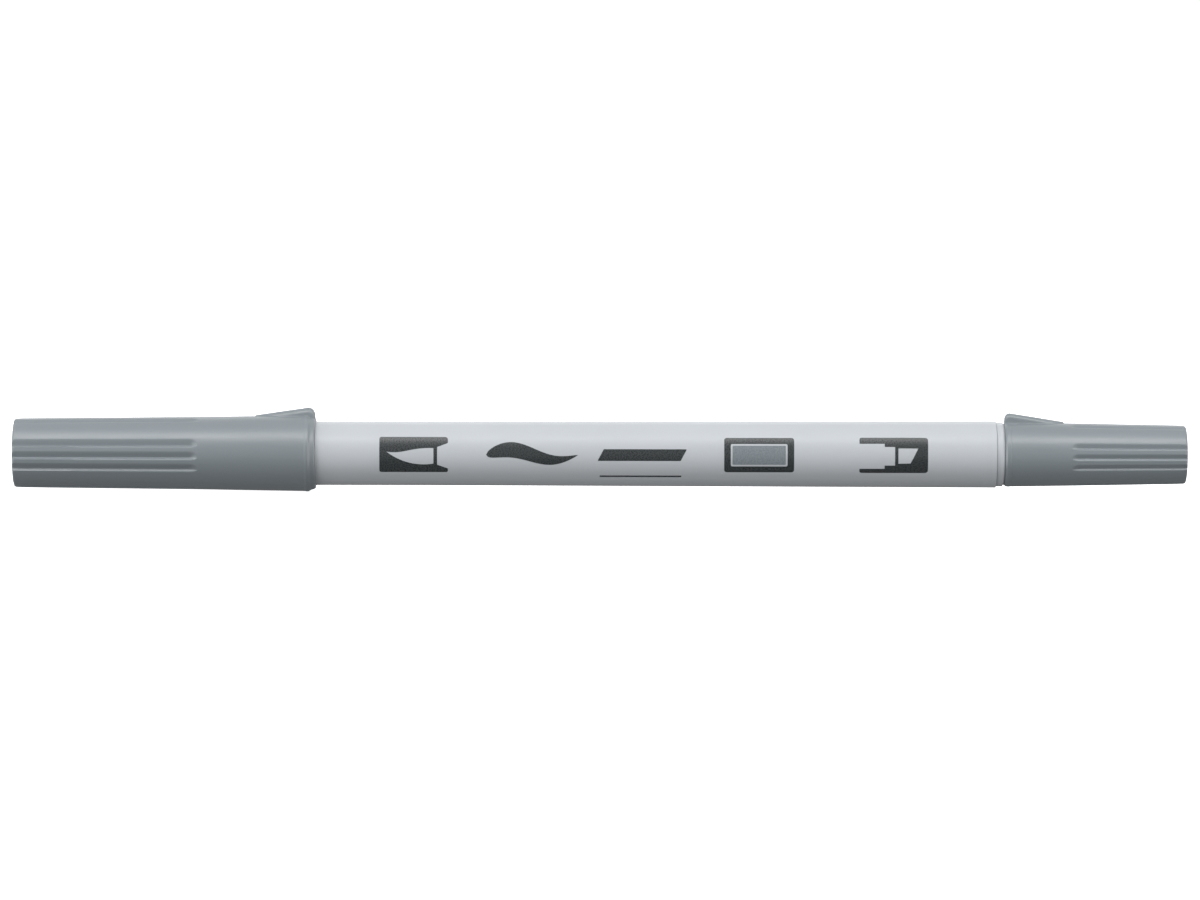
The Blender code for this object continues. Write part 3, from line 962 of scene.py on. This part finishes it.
def brush_sample():
    """A stroke from the brush tip: it swells after its start, waves once and thins to its end."""
    start = -14.5
    end = -1.2
    widest = 2.3
    wave = 0.75
    steps = 48
    upper = []
    lower = []
    for step in range(1, steps):
        share = step / steps
        x = start + (end - start) * share
        middle = wave * sin(2 * pi * share)
        half = widest / 2 * sin(pi * share**0.62) ** 0.8
        upper.append((x, middle + half))
        lower.append((x, middle - half))
    return [[(start, 0.0)] + upper + [(end, 0.0)] + lower[::-1]]


def chisel_sample():
    """A stroke from the chisel tip: even width with slanted ends."""
    corners = (
        (1.6, -0.85, 0.08),
        (2.5, 0.85, 0.08),
        (14.5, 0.85, 0.08),
        (13.6, -0.85, 0.08),
    )
    return [rounded(corners, closed=True)]


def make_print():
    """Two nib badges, a colour chip and a sample stroke from each tip, with no lettering."""
    for name, loops, x, ink in (
        ("brush_badge", brush_badge(), BRUSH_BADGE_X, print_ink),
        ("brush_sample", brush_sample(), SAMPLES_X, print_ink),
        ("chisel_sample", chisel_sample(), SAMPLES_X, print_ink),
        ("thin_rule", thin_rule(), SAMPLES_X, print_ink),
        ("chip_frame", chip_frame(), CHIP_X, print_ink),
        ("colour_chip", colour_chip(), CHIP_X, chip_ink),
        ("chisel_badge", chisel_badge(), CHISEL_BADGE_X, print_ink),
    ):
        print_on_barrel(name, loops, x, ink)


def dress_hidden_nodes():
    """The reservoir's two pieces keep their CAD shape and get their own materials."""
    looks = {
        "reservoir_core": fibre_bundle("reservoir_fibre_look", FIBRE_WHITE),
        "reservoir_film": wrap_film("reservoir_film_look", FILM_WHITE),
    }
    for node, look in looks.items():
        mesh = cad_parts[node].data
        mesh.materials.clear()
        mesh.materials.append(look)


# Stage: a pale floor, plain soft light and the camera. The first four lengths are in metres.
FLOOR_RADIUS = 4.0
LIGHT_DISTANCE = 1.2
LIGHT_LENGTH = 3.0
END_PANEL_LENGTH = 1.2
END_PANEL_HALF_ANGLE = 25.0  # degrees
END_PANEL_FORWARD = 0.35  # how far the end panels' directions lean towards the camera's side
WORLD_STRENGTH = 0.19
CAMERA_DISTANCE = 900.0
CAMERA_ELEVATION = radians(4.0)
CAMERA_ROLL = radians(0.1)
CAMERA_AIM_ABOVE_AXIS = 0.54
FRAME_WIDTH = 174.18  # across the picture at the marker's distance
SENSOR_WIDTH = 36.0


def make_stage():
    """A round pale floor with an upright rim as its backdrop, seen by the camera only."""
    pale = bpy.data.materials.new("pale_stage_look")
    pale.use_nodes = True
    shader = pale.node_tree.nodes["Principled BSDF"]
    shader.inputs["Base Color"].default_value = (0.9, 0.9, 0.9, 1.0)
    shader.inputs["Roughness"].default_value = 0.9
    shader.inputs["Specular IOR Level"].default_value = 0.0
    shader.inputs["Emission Color"].default_value = (1.0, 1.0, 1.0, 1.0)
    shader.inputs["Emission Strength"].default_value = 0.95
    bm = bmesh.new()
    bmesh.ops.create_circle(bm, cap_ends=True, radius=FLOOR_RADIUS, segments=96)
    rim = [edge for edge in bm.edges if edge.is_boundary]
    grown = bmesh.ops.extrude_edge_only(bm, edges=rim)
    raised = [item for item in grown["geom"] if isinstance(item, bmesh.types.BMVert)]
    bmesh.ops.translate(bm, vec=(0.0, 0.0, FLOOR_RADIUS), verts=raised)
    mesh = bpy.data.meshes.new("stage_floor")
    bm.to_mesh(mesh)
    bm.free()
    mesh.materials.append(pale)
    floor = bpy.data.objects.new("stage_floor", mesh)
    floor.visible_diffuse = False
    floor.visible_glossy = False
    floor.visible_shadow = False
    bpy.context.scene.collection.objects.link(floor)


def softbox(name, way, length, half_angle, radiance):
    """A panel in the direction of way that faces the marker and spans half_angle each side."""
    light = bpy.data.lights.new(name, "AREA")
    light.shape = "RECTANGLE"
    light.size = length
    light.size_y = 2 * LIGHT_DISTANCE * tan(radians(half_angle))
    light.energy = radiance * pi * light.size * light.size_y
    made = bpy.data.objects.new(name, light)
    made.location = Vector((0.0, 0.0, AXIS_Z * MM)) + way * LIGHT_DISTANCE
    made.rotation_euler = way.to_track_quat("Z", "Y").to_euler()
    bpy.context.scene.collection.objects.link(made)


def make_light():
    """Panels over the marker's length from front to back, and one beyond each of its ends."""
    for name, elevation, half_angle, radiance in (
        ("key_strip", 58.5, 7.5, 3.0),
        ("key_diffuser", 60.0, 22.5, 1.05),
        ("front_fill", 14.0, 25.0, 0.33),
        ("back_fill", 120.0, 37.0, 0.50),
        ("rear_fill", 165.0, 25.0, 0.80),
    ):
        rise = radians(elevation)
        softbox(name, Vector((0.0, -cos(rise), sin(rise))), LIGHT_LENGTH, half_angle, radiance)
    for name, side, radiance in (("left_fill", -1.0, 2.5), ("right_fill", 1.0, 1.3)):
        way = Vector((side, -END_PANEL_FORWARD, 0.0)).normalized()
        softbox(name, way, END_PANEL_LENGTH, END_PANEL_HALF_ANGLE, radiance)
    world = bpy.data.worlds.new("studio_fill")
    world.use_nodes = True
    background = world.node_tree.nodes["Background"]
    background.inputs["Color"].default_value = (1.0, 1.0, 1.0, 1.0)
    background.inputs["Strength"].default_value = WORLD_STRENGTH
    bpy.context.scene.world = world


def make_camera():
    """A long lens in front of the marker, a little above it."""
    data = bpy.data.cameras.new("studio_camera")
    data.sensor_width = SENSOR_WIDTH
    data.lens = SENSOR_WIDTH * CAMERA_DISTANCE / FRAME_WIDTH
    data.clip_start = 0.01
    data.clip_end = 50.0
    camera = bpy.data.objects.new("studio_camera", data)
    away = Vector((0.0, -cos(CAMERA_ELEVATION), sin(CAMERA_ELEVATION)))
    aim = Vector((0.0, 0.0, (AXIS_Z + CAMERA_AIM_ABOVE_AXIS) * MM))
    facing = away.to_track_quat("Z", "Y").to_matrix().to_4x4()
    facing = facing @ Matrix.Rotation(CAMERA_ROLL, 4, "Z")
    camera.matrix_world = Matrix.Translation(aim + away * CAMERA_DISTANCE * MM) @ facing
    bpy.context.scene.collection.objects.link(camera)
    bpy.context.scene.camera = camera
    bpy.context.scene.view_settings.view_transform = "Standard"


make_camera()
make_light()
make_stage()
make_barrel()
make_chisel_section()
make_cap("brush_cap_shell", BRUSH_CAP, "brush_cap_body", "brush_cap")
make_cap("chisel_cap_shell", CHISEL_CAP, "chisel_cap_body", "chisel_cap")
make_liner("brush_seal_cup", BRUSH_LINER, "brush_cap_body", "brush_cap_liner")
make_liner("chisel_seal_cup", CHISEL_LINER, "chisel_cap_body", "chisel_cap_liner")
make_brush_nib()
make_chisel_nib()
make_print()
dress_hidden_nodes()
